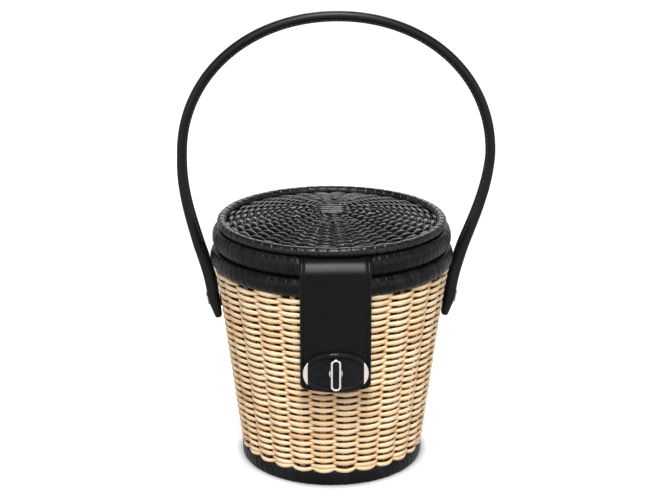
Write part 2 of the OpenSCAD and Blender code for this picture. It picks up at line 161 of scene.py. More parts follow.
def grid_faces(n, m, wrap_n=False, wrap_m=False, start=0):
    """Four-sided faces of an n by m grid of points, closed in a loop where asked."""
    i, j = np.meshgrid(np.arange(n if wrap_n else n - 1), np.arange(m if wrap_m else m - 1),
                       indexing="ij")
    i2, j2 = (i + 1) % n, (j + 1) % m
    corners = [i * m + j, i2 * m + j, i2 * m + j2, i * m + j2]
    return start + np.stack(corners, -1).reshape(-1, 4)


def add_object(name, data):
    obj = bpy.data.objects.new(name, data)
    bpy.context.scene.collection.objects.link(obj)
    return obj


class Shell:
    """Collects the points and faces of one piece, with a tone and a fibre coordinate per point."""

    def __init__(self):
        self.points, self.faces, self.tones, self.fibres, self.slots = [], [], [], [], []
        self.count = 0

    def add(self, points, faces, tone=0.0, fibre=None, slot=0):
        """Adds points (..., 3) and faces: arrays of equal faces, or of one face of any size."""
        flat = points.reshape(-1, 3)
        for part in faces:
            part = np.atleast_2d(part) + self.count
            self.faces.extend(part.tolist())
            self.slots.extend([slot] * len(part))
        self.points.append(flat)
        self.tones.append(np.broadcast_to(tone, points.shape[:-1]).ravel())
        self.fibres.append(flat if fibre is None else fibre.reshape(-1, 3))
        self.count += len(flat)

    def tube(self, sections, closed=False, tone=0.0, fibre=None, slot=0):
        """Joins sections (n, m, 3) into a tube, closed in a loop or with flat ends."""
        n, m = sections.shape[:2]
        faces = [grid_faces(n, m, closed, True)]
        if not closed:
            faces += [np.arange(m)[::-1], (n - 1) * m + np.arange(m)]
        self.add(sections, faces, tone, fibre, slot)

    def piece(self, name, materials, body, replaces, slot):
        """Makes the object, with the body that it rides on and the solids that it shows."""
        mesh = bpy.data.meshes.new(name)
        mesh.from_pydata((np.concatenate(self.points) * MM).tolist(), [], self.faces)
        tones = np.concatenate(self.tones).astype(np.float32)
        mesh.attributes.new("tone", "FLOAT", "POINT").data.foreach_set("value", tones)
        fibres = np.concatenate(self.fibres).astype(np.float32).ravel()
        mesh.attributes.new("fibre", "FLOAT_VECTOR", "POINT").data.foreach_set("vector", fibres)
        for material in materials:
            mesh.materials.append(material)
        mesh.polygons.foreach_set("material_index", np.array(self.slots, np.int32))
        bm = bmesh.new()
        bm.from_mesh(mesh)
        bmesh.ops.recalc_face_normals(bm, faces=bm.faces)
        for face in bm.faces:
            face.smooth = True
        bm.to_mesh(mesh)
        bm.free()
        obj = add_object(name, mesh)
        if body:
            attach(obj, body)
        if replaces:
            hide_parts(*replaces)
        return obj


# Materials

class NodeTree:
    """Short ways to add nodes to a material or a world and to link them."""

    def __init__(self, owner):
        owner.use_nodes = True
        self.nodes, self.links = owner.node_tree.nodes, owner.node_tree.links

    def set(self, socket, value):
        """Gives a socket a number, a colour or another node's output."""
        if isinstance(value, (int, float)):
            socket.default_value = value
        elif isinstance(value, tuple):
            socket.default_value = (*value, 1)
        else:
            self.links.new(value, socket)

    def place(self, kind="Object"):
        return self.nodes.new("ShaderNodeTexCoord").outputs[kind]

    def attribute(self, name, output):
        node = self.nodes.new("ShaderNodeAttribute")
        node.attribute_name = name
        return node.outputs[output]

    def noise(self, vector, scale, detail=3.0, roughness=0.5, stretch=None):
        if stretch:
            mapping = self.nodes.new("ShaderNodeMapping")
            mapping.inputs["Scale"].default_value = stretch
            self.links.new(vector, mapping.inputs["Vector"])
            vector = mapping.outputs["Vector"]
        node = self.nodes.new("ShaderNodeTexNoise")
        node.inputs["Scale"].default_value = scale
        node.inputs["Detail"].default_value = detail
        node.inputs["Roughness"].default_value = roughness
        self.links.new(vector, node.inputs["Vector"])
        return node.outputs["Fac"]

    def ramp(self, value, stops):
        """Colour or grey that runs through stops (place, colour) as value grows."""
        node = self.nodes.new("ShaderNodeValToRGB")
        while len(node.color_ramp.elements) < len(stops):
            node.color_ramp.elements.new(0.5)
        for element, (place, color) in zip(node.color_ramp.elements, stops):
            element.position = place
            element.color = (*color, 1) if np.ndim(color) else (color, color, color, 1)
        self.links.new(value, node.inputs["Fac"])
        return node.outputs["Color"]

    def calc(self, operation, a, b):
        node = self.nodes.new("ShaderNodeMath")
        node.operation = operation
        for socket, value in zip(node.inputs, (a, b)):
            self.set(socket, value)
        return node.outputs["Value"]

    def multiplied(self, share, a, b):
        """Colour a times colour b, mixed into a by share."""
        node = self.nodes.new("ShaderNodeMix")
        node.data_type, node.blend_type = "RGBA", "MULTIPLY"
        node.inputs["Factor"].default_value = share
        self.links.new(a, node.inputs["A"])
        self.links.new(b, node.inputs["B"])
        return node.outputs["Result"]

    def seen(self, mirror_share):
        """1 for what the camera sees, mirror_share for what is mirrored and 0 for soft light."""
        rays = self.nodes.new("ShaderNodeLightPath").outputs
        mirrored = self.calc("MULTIPLY", rays["Is Glossy Ray"], mirror_share)
        through = self.calc("MAXIMUM", mirrored, rays["Is Transmission Ray"])
        return self.calc("MAXIMUM", rays["Is Camera Ray"], through)


class Paint(NodeTree):
    """A material with one principled shader, plain at first for tools that read no nodes."""

    def __init__(self, name, color=(0.5, 0.5, 0.5), roughness=0.5, **sockets):
        self.material = bpy.data.materials.new(name)
        super().__init__(self.material)
        self.shader = self.nodes["Principled BSDF"].inputs
        self.feed(Base_Color=color, Roughness=roughness, **sockets)

    def feed(self, **sockets):
        """Sets sockets of the shader, named with _ for each space."""
        for name, value in sockets.items():
            self.set(self.shader[name.replace("_", " ")], value)

    def bump(self, height, strength, distance):
        node = self.nodes.new("ShaderNodeBump")
        node.inputs["Strength"].default_value = strength
        node.inputs["Distance"].default_value = distance
        self.links.new(height, node.inputs["Height"])
        self.links.new(node.outputs["Normal"], self.shader["Normal"])


def wicker_material():
    paint = Paint("natural_cane", Specular_IOR_Level=0.25)
    fibre, tone = paint.attribute("fibre", "Vector"), paint.attribute("tone", "Fac")
    streak = paint.noise(fibre, 1.0, 4.0, 0.6, stretch=(0.05, 2.2, 1.0))
    patch = paint.noise(fibre, 1.0, 3.0, 0.55, stretch=(0.035, 0.12, 0.7))
    mixed = paint.calc("ADD", tone, paint.calc("MULTIPLY", patch, 0.36))
    # The two darkest stops are painted shade: only the strands behind the stakes and the stakes'
    # outer faces reach them
    base = paint.ramp(mixed, [(0.14, (0.92, 0.71, 0.475)), (0.34, (0.88, 0.64, 0.395)),
                              (0.52, (0.78, 0.51, 0.275)), (0.66, (0.55, 0.315, 0.13)),
                              (0.9, (0.055, 0.022, 0.007))])
    lines = paint.ramp(streak, [(0.30, 0.70), (0.48, 1.0), (1.0, 1.0)])
    paint.feed(Base_Color=paint.multiplied(0.7, base, lines),
               Specular_IOR_Level=paint.ramp(mixed, [(0.4, 0.3), (0.7, 0.02)]),
               Roughness=paint.ramp(streak, [(0.3, 0.6), (0.7, 0.42)]))
    paint.bump(streak, 0.35, 0.0004)
    return paint.material


def black_cane_material(name, rough, shine):
    paint = Paint(name, roughness=rough[0], Specular_IOR_Level=shine)
    fibre, tone = paint.attribute("fibre", "Vector"), paint.attribute("tone", "Fac")
    streak = paint.noise(fibre, 1.0, 4.0, 0.6, stretch=(0.06, 1.6, 1.0))
    shade = paint.calc("ADD", streak, paint.calc("MULTIPLY", tone, 0.35))
    paint.feed(Base_Color=paint.ramp(shade, [(0.3, (0.0025, 0.0025, 0.003)),
                                             (0.8, (0.007, 0.0068, 0.0074)),
                                             (1.0, (0.015, 0.0145, 0.015))]),
               Roughness=paint.ramp(streak, [(0.3, rough[1]), (0.7, rough[0])]))
    paint.bump(streak, 0.4, 0.0005)
    return paint.material


def leather_material(name, rough, shine):
    paint = Paint(name, roughness=rough[0], Specular_IOR_Level=shine)
    place = paint.place()
    pores = paint.nodes.new("ShaderNodeTexVoronoi")
    pores.inputs["Scale"].default_value = 1500
    paint.links.new(place, pores.inputs["Vector"])
    cloud = paint.noise(place, 90, 4.0, 0.55)
    fine = paint.noise(place, 900, 3.0, 0.6)
    paint.feed(Base_Color=paint.ramp(cloud, [(0.3, (0.0016, 0.0016, 0.0018)),
                                             (0.7, (0.0036, 0.0036, 0.0038))]),
               Roughness=paint.ramp(fine, [(0.25, rough[0]), (0.75, rough[1])]))
    grain = paint.calc("ADD", pores.outputs["Distance"], paint.calc("MULTIPLY", fine, 0.6))
    paint.bump(grain, 0.04, 0.0003)
    return paint.material


def metal_material(name, color, rough):
    paint = Paint(name, color, rough[0], Metallic=1.0)
    place = paint.place()
    brushed = paint.noise(place, 1.0, 4.0, 0.6, stretch=(160, 160, 2600))
    cloud = paint.noise(place, 120)
    darker = tuple(0.9 * c for c in color)
    paint.feed(Base_Color=paint.ramp(cloud, [(0.3, darker), (0.7, color)]),
               Roughness=paint.ramp(brushed, [(0.3, rough[0]), (0.7, rough[1])]))
    paint.bump(brushed, 0.04, 0.0001)
    return paint.material


def enamel_material():
    paint = Paint("black_enamel", roughness=0.1, Specular_IOR_Level=0.06)
    cloud = paint.noise(paint.place(), 220)
    paint.feed(Base_Color=paint.ramp(cloud, [(0.3, (0.006, 0.006, 0.007)),
                                             (0.7, (0.012, 0.012, 0.013))]),
               Roughness=paint.ramp(cloud, [(0.3, 0.06), (0.7, 0.14)]))
    return paint.material


def thread_material():
    paint = Paint("thread", roughness=0.6, Specular_IOR_Level=0.2)
    twist = paint.noise(paint.place(), 3000, 2.0)
    paint.feed(Base_Color=paint.ramp(twist, [(0.3, (0.012, 0.012, 0.013)),
                                             (0.7, (0.05, 0.05, 0.052))]))
    paint.bump(twist, 0.5, 0.0001)
    return paint.material


def board_material():
    paint = Paint("bottom_wood", roughness=0.6)
    grain = paint.noise(paint.place(), 1.0, 5.0, 0.6, stretch=(18, 260, 260))
    paint.feed(Base_Color=paint.ramp(grain, [(0.3, (0.40, 0.25, 0.12)), (0.5, (0.58, 0.39, 0.21)),
                                             (0.75, (0.68, 0.49, 0.29))]),
               Roughness=paint.ramp(grain, [(0.3, 0.7), (0.7, 0.5)]))
    paint.bump(grain, 0.3, 0.0004)
    return paint.material


# Black surfaces shine little, because the white floor and backdrop are mirrored in them
WICKER = wicker_material()
LEATHER = leather_material("black_leather", (0.31, 0.36), 0.125)
HANDLE_LEATHER = leather_material("handle_leather", (0.36, 0.48), 0.21)
BLACK_CANE = black_cane_material("black_cane", (0.2, 0.32), 0.1)
LID_CANE = black_cane_material("black_lid_cane", (0.14, 0.25), 0.23)
POLISHED = metal_material("polished_metal", (0.82, 0.76, 0.71), (0.10, 0.2))
DULL_METAL = metal_material("rivet_metal", (0.50, 0.49, 0.47), (0.25, 0.4))
ENAMEL, THREAD, BOARD = enamel_material(), thread_material(), board_material()

# Woven wall. A strand is an oval tube: its half depth, its swing to and fro about the middle of
# the wall, and its half height in front of a stake, behind one and halfway between two.
STAKES, ROWS = 26, 54
STRAND_SIDES, STEPS_PER_STAKE = 8, 8
STRAND_DEPTH, STRAND_SWING = 1.0, 1.95
STRAND_FRONT, STRAND_BACK, STRAND_PINCHED = 1.56, 2.05, 1.12
STAKE_DEPTH, STAKE_HALF_W = 0.92, 1.7
WALL_MID = STRAND_DEPTH + STRAND_SWING
WEAVE_EASE, PINCH_EASE = 0.85, 0.8
# Random changes along a strand, as knots and amount: height, swing, thickness and tone
STRAND_DRIFT, SWING_DRIFT, TALL_DRIFT, TONE_DRIFT = (34, 0.10), (52, 0.035), (40, 0.03), (9, 0.08)
# Lowest strand: height, dip at a stake, swing, half height and what a stake adds to it, drift
LOW_Z, LOW_DIP, LOW_SWING, LOW_BACK, LOW_TALL, LOW_MORE = 1.1, 0.75, 1.15, 0.1, 1.25, 0.2
LOW_DRIFT = (30, 0.08)
# Tone from pale to dark: usual, change from strand to strand, painted shade where a strand passes
# behind a stake, and painted shade towards its upper and lower edges
CANE_TONE, CANE_SPREAD, BEHIND_SHADE_TONE, EDGE_SHADE_TONE = 0.12, 0.07, 0.66, 0.07
# Stakes: usual tone, change from stake to stake, and painted shade on their outer face, which shows
# in the slits
STAKE_TONE, STAKE_SPREAD, STAKE_FACE_SHADE = 0.40, 0.1, 0.25
# Fibre coordinates: length from stake to stake, and width round a strand's and a stake's section
FIBRE_STEP, STRAND_ROUND, STAKE_ROUND = 15.0, 1.3, 1.2
# Where the strands of each kind lie in the noise: the first, and the step to the next
NOISE_PLACE = {"wall": (0, 7.3), "stake": (900, 5.1), "wrap": (0, 9.7), "lid": (300, 6.1),
               "stick": (700, 11), "binding": (760, 9)}


def noise_place(kind, k):
    first, step = NOISE_PLACE[kind]
    return first + k * step


def weave_swing(u, parity):
    """Plain weave: 1 where a strand passes over an upright and -1 where it passes under."""
    return eased(np.cos(np.pi * (u + parity)), WEAVE_EASE)


def wall_strand(shell, u, z, swing, tall, row):
    """One closed strand of the wall: swing is 1 in front of a stake and -1 behind it."""
    theta, phi = full_turn(len(u))[:, None], full_turn(STRAND_SIDES)
    slope = (WALL_TOP_R - WALL_FOOT_R) / (WALL_Z1 - WALL_Z0)
    r_mid = wall_r(z) - WALL_MID + STRAND_SWING * swing
    zz = z[:, None] + tall[:, None] * np.sin(phi)
    rr = r_mid[:, None] + STRAND_DEPTH * np.cos(phi) + slope * tall[:, None] * np.sin(phi)
    # Painted shade: the outer half of a strand darkens where it passes behind a stake, and its
    # upper and lower edges are a little darker
    behind = smooth_step(-swing, -0.1, 0.6)[:, None] * np.clip(0.5 + np.cos(phi), 0, 1)
    tone = CANE_TONE + CANE_SPREAD * rng.normal() + wavy(len(u), *TONE_DRIFT)
    tone = tone[:, None] + BEHIND_SHADE_TONE * behind + EDGE_SHADE_TONE * np.abs(np.sin(phi)) ** 3
    fibre = stack((u * FIBRE_STEP)[:, None], np.abs(phi - np.pi) * STRAND_ROUND,
                  noise_place("wall", row))
    shell.tube(around(rr, theta, zz), True, tone, fibre)


def wall_weave():
    shell = Shell()
    n = STAKES * STEPS_PER_STAKE
    u = np.arange(n) / STEPS_PER_STAKE
    on_stake = np.abs(np.cos(np.pi * u)) ** PINCH_EASE
    pitch = (WALL_Z1 - WALL_Z0) / ROWS
    for row in range(1, ROWS):
        z = WALL_Z0 + (row + 0.5) * pitch + wavy(n, *STRAND_DRIFT)
        swing = weave_swing(u, row) + wavy(n, *SWING_DRIFT)
        tallest = np.where(swing > 0, STRAND_FRONT, STRAND_BACK)
        tall = STRAND_PINCHED + (tallest - STRAND_PINCHED) * on_stake
        wall_strand(shell, u, z, swing, tall * (1 + wavy(n, *TALL_DRIFT)), row)
    # The lowest strand lies in front of every stake and rises a little between them
    z = WALL_Z0 + LOW_Z - LOW_DIP * on_stake + wavy(n, *LOW_DRIFT)
    wall_strand(shell, u, z, LOW_SWING * on_stake - LOW_BACK, LOW_TALL + LOW_MORE * on_stake, 0)
    shell.piece("wall_weave", [WICKER], "bucket", ["basket_wall"], "wicker")


def wall_stakes():
    shell = Shell()
    z = np.linspace(WALL_Z0 + 1.5, WALL_Z1 + 0.5, 14)[:, None]
    phi = full_turn(STRAND_SIDES)
    r = wall_r(z) - WALL_MID + STAKE_DEPTH * np.cos(phi)
    for k in range(STAKES):
        points = beside(r, STAKE_HALF_W * np.sin(phi), 2 * np.pi * k / STAKES, z)
        # Painted shade on the outer face of the stake
        tone = STAKE_TONE + STAKE_SPREAD * rng.normal() + STAKE_FACE_SHADE * np.clip(np.cos(phi), 0, 1)
        shell.tube(points, False, tone, stack(z, phi * STAKE_ROUND, noise_place("stake", k)))
    shell.piece("wall_stakes", [WICKER], "bucket", (), "wicker")


# Rings wound with flat cane. The stops share out the points across one turn of cane.
WRAP_STOPS = np.array([0.0, 0.035, 0.1, 0.19, 0.5, 0.81, 0.9, 0.965])
WRAP_LIFT, SEAM_POWER, LIFT_POWER = 0.05, 9, 3
FOOT_BOW, RIM_BOW, HOOP_BOW, RING_CORNER = 1.8, 4.2, 3.8, 0.9
BORDER_SWELL = 0.1
STRAP_BEND_R, HINGE_BEND_R = 8.0, 5.2
UNDER_SIDE, UNDER_TOP, UNDER_STEEP = 0.4, 0.15, 0.2


def ring_outline(r_out, t, z0, z1, bow):
    """Section of a wrapped hoop: flat inside, top and bottom, with a bowed outer side."""
    mid, half, r_in = (z0 + z1) / 2, (z1 - z0) / 2, r_out - t
    a, turn = np.linspace(-np.pi / 2, np.pi / 2, 17), np.linspace(0, np.pi / 2, 4)
    outer = np.stack([r_out - bow * (1 - np.cos(a)), mid + half * np.sin(a)], -1)
    top = np.stack([np.linspace(r_out - bow, r_in + RING_CORNER, 5)[1:-1], np.full(3, z1)], -1)
    top_corner = np.stack([r_in + RING_CORNER - RING_CORNER * np.sin(turn),
                           z1 - RING_CORNER + RING_CORNER * np.cos(turn)], -1)
    inner_z = np.linspace(z1 - RING_CORNER, z0 + RING_CORNER, 5)[1:-1]
    inner = np.stack([np.full(3, r_in), inner_z], -1)
    low_corner, bottom = ((part - (0, mid))[::-1] * (1, -1) + (0, mid)
                          for part in (top_corner, top))
    return np.concatenate([outer, top, top_corner, inner, low_corner, bottom])


def round_outline(r_out, d, z0):
    phi = full_turn(20) - np.pi
    return np.stack([r_out - d / 2 + d / 2 * np.cos(phi), z0 + d / 2 + d / 2 * np.sin(phi)], -1)


def wrapped_ring(name, outline, wraps, groove, body, node, notch=None, material=BLACK_CANE):
    """Ring wound with cane that runs a little slantwise, with a seam of depth groove each turn."""
    m, per = len(outline), len(WRAP_STOPS)
    n = wraps * per
    length = np.linalg.norm(np.roll(outline, -1, 0) - outline, axis=1)
    s = np.concatenate([[0], np.cumsum(length)[:-1]]) / length.sum()
    tangent = np.roll(outline, -1, 0) - np.roll(outline, 1, 0)
    tangent /= np.linalg.norm(tangent, axis=1)[:, None]
    frac = np.tile(WRAP_STOPS, wraps)[:, None]
    wrap = np.repeat(np.arange(wraps), per)[:, None]
    lift = np.repeat(rng.normal(0, WRAP_LIFT, wraps), per)[:, None]
    off_middle = np.abs(2 * frac - 1)
    depth = groove * off_middle ** SEAM_POWER - lift * (1 - off_middle ** LIFT_POWER)
    theta = 2 * np.pi / wraps * (wrap + frac - s)
    points = around(outline[:, 0] - depth * tangent[:, 1], theta,
                    outline[:, 1] + depth * tangent[:, 0])
    if notch:
        points = notch(points)
    # A turn of cane ends one turn further on than it began, so the last faces step back by one
    i = np.arange(n)
    last = np.stack([i * m + m - 1, (i + 1) % n * m + m - 1, (i + 1 - per) % n * m,
                     (i - per) % n * m], -1)
    tone = np.repeat(rng.uniform(0, 1, wraps), per)[:, None]
    width = 2 * np.pi * outline[:, 0].max() / wraps
    shell = Shell()
    shell.add(points, [grid_faces(n, m, True, False), last], tone,
              stack(s * length.sum(), frac * width, noise_place("wrap", wrap)))
    shell.piece(name, [material], body, [node], "black_cane")


def under_leather(points):
    """Presses the hoop down where the strap and the hinge leather lie over it."""
    for half_w, side, face, bend_r in ((strap_hi[0], -1, -strap_lo[1], STRAP_BEND_R),
                                       (bag_leaf_hi[0], 1, bag_leaf_hi[1], HINGE_BEND_R)):
        y = points[..., 1] * side
        inside = (np.abs(points[..., 0]) < half_w + UNDER_SIDE) & (y > 0)
        out = np.clip(y - (face - LEATHER_T - bend_r), 0, bend_r - UNDER_STEEP)
        top = HOOP_TOP - LEATHER_T - bend_r + np.sqrt(bend_r ** 2 - out ** 2) - UNDER_TOP
        points[..., 2] = np.where(inside, np.minimum(points[..., 2], top), points[..., 2])
    return points


def rings():
    foot = ring_outline(FOOT_R, FOOT_T, foot_lo[2], foot_hi[2], FOOT_BOW)
    wrapped_ring("foot_wrap", foot, 72, 0.28, "bucket", "foot_ring")
    rim = ring_outline(RIM_R, RIM_T, rim_lo[2], rim_hi[2], RIM_BOW)
    wrapped_ring("rim_wrap", rim, 78, 0.27, "bucket", "rim_ring")
    hoop = ring_outline(HOOP_R, HOOP_T, hoop_lo[2], hoop_hi[2], HOOP_BOW)
    wrapped_ring("hoop_wrap", hoop, 90, 0.27, "lid", "lid_hoop", under_leather)
    border = round_outline(BORDER_R, border_hi[2] - border_lo[2] + 2 * BORDER_SWELL,
                           border_lo[2] - BORDER_SWELL)
    wrapped_ring("border_wrap", border, 64, 0.42, "lid", "lid_border", material=LID_CANE)


# Woven lid. The rows are rings of cane over spokes; the spokes double at two radii.
SPOKES, SPLIT_1, SPLIT_2 = 32, 13, 25
SPOKE_STARTS, SPOKE_PAST, SPOKE_HALF_W, SPOKE_DEPTH = (6.0, 12.5, 24.5), 0.5, 1.25, 0.62
SPOKE_TURN = np.pi / SPOKES
LID_ROWS, LID_FIRST, LID_LAST = 27, 9.4, PANEL_R - 0.4
LID_DEPTH, LID_SWING, LID_WIDE, LID_PINCHED = 0.8, 1.0, 1.5, 1.02
LID_TONE, LID_SPREAD, SPOKE_TONE, LID_DRIFT, LID_SWING_DRIFT = 0.3, 0.2, 0.2, 0.07, 0.03
LID_ROUND = 1.2
# Dark disc under the lid's weave that stands in for shade in its gaps: gap below the weave,
# thickness, overhang and centre hole
SHADE_DISC_GAP, SHADE_DISC_T, SHADE_DISC_PAST, SHADE_DISC_HOLE = 0.1, 0.4, 0.4, 0.05
PANEL_T = 3.0
DOME, DOME_R = panel_hi[2] - HOOP_TOP - PANEL_T + 0.1, PANEL_R - 1.5
# Crossed sticks in the middle: half length, bent end, half width, half height, drop of the ends
SLATH, SLATH_BEND, STICK_HALF_W, STICK_HALF_T, STICK_DROP = 7.2, 1.6, 2.1, 1.3, 1.5
STICKS, STICK_GAP, LAYER_DROP, SLATH_RISE = 4, 0.08, 2.1, 0.5
# Binding over two of their ends: place, pitch, overhang, half width and height, drop, wave, tone
BIND_IN, BIND_PITCH, BIND_PAST, BIND_HALF_W, BIND_HALF_T = 0.2, 1.9, 0.6, 0.85, 0.8
BIND_DROP, BIND_STEP, BIND_WAVE, BIND_TONE = 1.5, 0.5, 1.3, 0.6


def dome_z(r):
    """Height of the middle of the woven panel at radius r, and its slope."""
    share = np.minimum(r, DOME_R) / DOME_R
    z = HOOP_TOP + PANEL_T + DOME * (1 - share ** 2) - LID_DEPTH - LID_SWING
    return z, -2 * DOME * share / DOME_R


def lid_strands(shell):
    phi = full_turn(STRAND_SIDES)
    for row in range(LID_ROWS):
        radius = LID_FIRST + (LID_LAST - LID_FIRST) * row / (LID_ROWS - 1)
        count = SPOKES // 4 if radius < SPLIT_1 else SPOKES // 2 if radius < SPLIT_2 else SPOKES
        per = 7 if count == SPOKES else 9
        n = count * per
        u = np.arange(n) / per
        theta = full_turn(n)[:, None] + SPOKE_TURN
        r_mid = radius + wavy(n, max(8, count // 2), LID_DRIFT)
        z_mid, slope = dome_z(r_mid[:, None])
        lean = 1 / np.sqrt(1 + slope ** 2)
        swing = LID_SWING * weave_swing(u, row) + wavy(n, count, LID_SWING_DRIFT)
        wide = LID_PINCHED + (LID_WIDE - LID_PINCHED) * np.abs(np.cos(np.pi * u)) ** PINCH_EASE
        across, up = wide[:, None] * np.cos(phi), swing[:, None] + LID_DEPTH * np.sin(phi)
        points = around(r_mid[:, None] + lean * across - slope * lean * up, theta,
                        z_mid + slope * lean * across + lean * up)
        fibre = stack(theta * radius, np.abs(phi - np.pi) * LID_ROUND, noise_place("lid", row))
        shell.tube(points, True, LID_TONE + LID_SPREAD * rng.normal(), fibre)


def lid_spokes(shell):
    phi = full_turn(STRAND_SIDES)
    for k in range(SPOKES):
        start = SPOKE_STARTS[0 if k % 4 == 0 else 1 if k % 2 == 0 else 2]
        r = np.linspace(start, PANEL_R + SPOKE_PAST, 18)[:, None]
        z = dome_z(r)[0] + SPOKE_DEPTH * np.sin(phi)
        angle = 2 * np.pi * k / SPOKES + SPOKE_TURN
        shell.tube(beside(r, SPOKE_HALF_W * np.cos(phi), angle, z), tone=SPOKE_TONE)


def lid_shade_disc(shell):
    """Thin dark domed disc under the weave, standing in for the shade that keeps its gaps dark,
    with a small hole in its centre that the sticks cover.
    """
    r = np.concatenate([[SHADE_DISC_HOLE], np.linspace(0.4, PANEL_R + SHADE_DISC_PAST, 9)])
    z = dome_z(r)[0] - LID_DEPTH - LID_SWING - SHADE_DISC_GAP
    outline_r, outline_z = np.concatenate([r, r[::-1]]), np.concatenate([z, z[::-1] - SHADE_DISC_T])
    shell.tube(around(outline_r, full_turn(64)[:, None], outline_z), True)


def slath(shell):
    """Crossed bundles of four sticks in the middle of the lid, bound at two ends."""
    phi = full_turn(10)
    top = dome_z(0.0)[0] + LID_DEPTH + LID_SWING + SLATH_RISE
    along = np.linspace(-SLATH - SLATH_BEND, SLATH + SLATH_BEND, 15)[:, None]
    bent = np.clip((np.abs(along) - SLATH) / SLATH_BEND, 0, 1) ** 2
    for layer, (ux, uy) in enumerate(((1, 0), (0, 1))):
        for k in range(STICKS):
            middle = (k - 1.5) * 2 * STICK_HALF_W + rng.normal(0, STICK_GAP)
            z = top - STICK_HALF_T - LAYER_DROP * layer - STICK_DROP * bent
            side = middle + (STICK_HALF_W - STICK_GAP) * np.cos(phi)
            x, y = along * ux + side * uy, along * uy + side * ux
            low = dome_z(np.hypot(x, y))[0] - LID_DEPTH - LID_SWING
            points = stack(x, y, np.maximum(z + STICK_HALF_T * np.sin(phi), low))
            shell.tube(points, False, rng.uniform(0, 1), stack(along, phi, noise_place("stick", k)))
    bundle = STICKS * STICK_HALF_W
    across = np.linspace(-bundle - BIND_PAST, bundle + BIND_PAST, 57)[:, None]
    for end in (-1, 1):
        for turn in range(2):
            crest = np.abs(np.cos(np.pi * (across / (2 * STICK_HALF_W) + 1 - 0.5 * turn)))
            x = end * (SLATH - BIND_IN + BIND_PITCH * turn)
            z = top - BIND_DROP - BIND_STEP * turn + BIND_WAVE * crest
            points = stack(x + BIND_HALF_W * np.cos(phi), across, z + BIND_HALF_T * np.sin(phi))
            fibre = stack(across, phi, noise_place("binding", turn))
            shell.tube(points, False, BIND_TONE, fibre)


def lid_weave():
    shell = Shell()
    lid_strands(shell)
    lid_spokes(shell)
    lid_shade_disc(shell)
    slath(shell)
    shell.piece("lid_weave", [LID_CANE], "lid", ["lid_panel"], "black_cane")


# Leather strips with rounded edges and a line pressed in along them. The stops are distances
# from the edge.
EDGE_ROUND, CREASE_IN, CREASE_DEEP, CREASE_W = 1.0, 2.3, 0.5, 0.36
EDGE_STOPS = np.array([0, 0.05, 0.2, 0.5, 0.85, 1.2, 1.55, 1.85, 2.08, 2.3, 2.52, 2.75, 3.2, 4.2])
EDGE_FIELD, LAST_ROW, END_FADE = 6, 5.2, 16
TONGUE_LIFT, TONGUE_DIP, TONGUE_CLEAR = 0.35, 0.25, 1.5
FINE_RUN, FINE_ROWS, COARSE_STEP, LOOK_ROUND = 22, 30, 3.0, 0.6
STRAP_BOW, STRAP_CORNER, HINGE_BOW, HINGE_CORNER = 3.0, 3.0, 1.0, 4.0
HINGE_LIE, HINGE_REACH = 0.1, 5


def slab(shell, path, half_w, end_of):
    """Leather strip along path (place function, stations, length), ending in the curve end_of."""
    place, stations, total = path
    inner = np.linspace(-half_w + EDGE_FIELD, half_w - EDGE_FIELD, 11)
    x = np.concatenate([-half_w + EDGE_STOPS, inner, (half_w - EDGE_STOPS)[::-1]])
    rows = np.concatenate([stations[stations < total - EDGE_FIELD], [total - LAST_ROW],
                           total - EDGE_STOPS[::-1]])[:, None]
    shorten = end_of(x)
    along = rows - shorten * np.clip((rows - (total - END_FADE)) / END_FADE, 0, 1)
    edge = np.minimum(half_w - np.abs(x), (total - shorten) - along)
    rounded = np.sqrt(np.clip(1 - (1 - np.clip(edge / EDGE_ROUND, 0, 1)) ** 2, 0, 1))
    crease = CREASE_DEEP * np.exp(-((edge - CREASE_IN) / CREASE_W) ** 2)
    (y, z), (ny, nz) = place(along)
    front, back = LEATHER_T / 2 * rounded - crease, -LEATHER_T / 2 * rounded
    points = np.stack([stack(x, y + ny * offset, z + nz * offset) for offset in (front, back)])
    n, m = along.shape
    rim = np.concatenate([np.arange(m), np.arange(1, n) * m + m - 1,
                          (n - 1) * m + np.arange(m - 2, -1, -1), np.arange(n - 2, 0, -1) * m])
    sides = np.stack([rim, np.roll(rim, -1), np.roll(rim, -1) + n * m, rim + n * m], -1)
    shell.add(points, [grid_faces(n, m), grid_faces(n, m, start=n * m)[:, ::-1], sides])


def over_hoop_path(side, tongue_y, back_y, bend_r, drop_points):
    """Centre line over the hoop: a flat tongue, a bend and runs down through drop_points (y, z).

    side is -1 at the front and 1 at the back, and back_y is where the line hangs after the bend.
    """
    mid_r = bend_r + LEATHER_T / 2
    bend_y, bend_z = back_y - mid_r, HOOP_TOP - LEATHER_T - bend_r
    flat_z = HOOP_TOP - LEATHER_T / 2
    line = [(tongue_y, flat_z + TONGUE_LIFT), (bend_y - TONGUE_CLEAR, flat_z + TONGUE_DIP)]
    line += [(bend_y + mid_r * math.sin(a), bend_z + mid_r * math.cos(a))
             for a in np.linspace(0.1, np.pi / 2, 16)]
    line = np.array(line + drop_points)
    dist = run_length(line)

    def at(s):
        return np.interp(s, dist, line[:, 0]), np.interp(s, dist, line[:, 1])

    def place(along):
        y, z = at(along)
        y1, z1 = at(np.clip(along - LOOK_ROUND, 0, None))
        y2, z2 = at(np.clip(along + LOOK_ROUND, None, dist[-1]))
        size = np.hypot(y2 - y1, z2 - z1)
        return (side * y, z), (side * (z1 - z2) / size, (y2 - y1) / size)

    stations = np.concatenate([np.linspace(0, FINE_RUN, FINE_ROWS),
                               np.arange(FINE_RUN, dist[-1], COARSE_STEP)])
    return place, np.unique(stations), dist[-1]


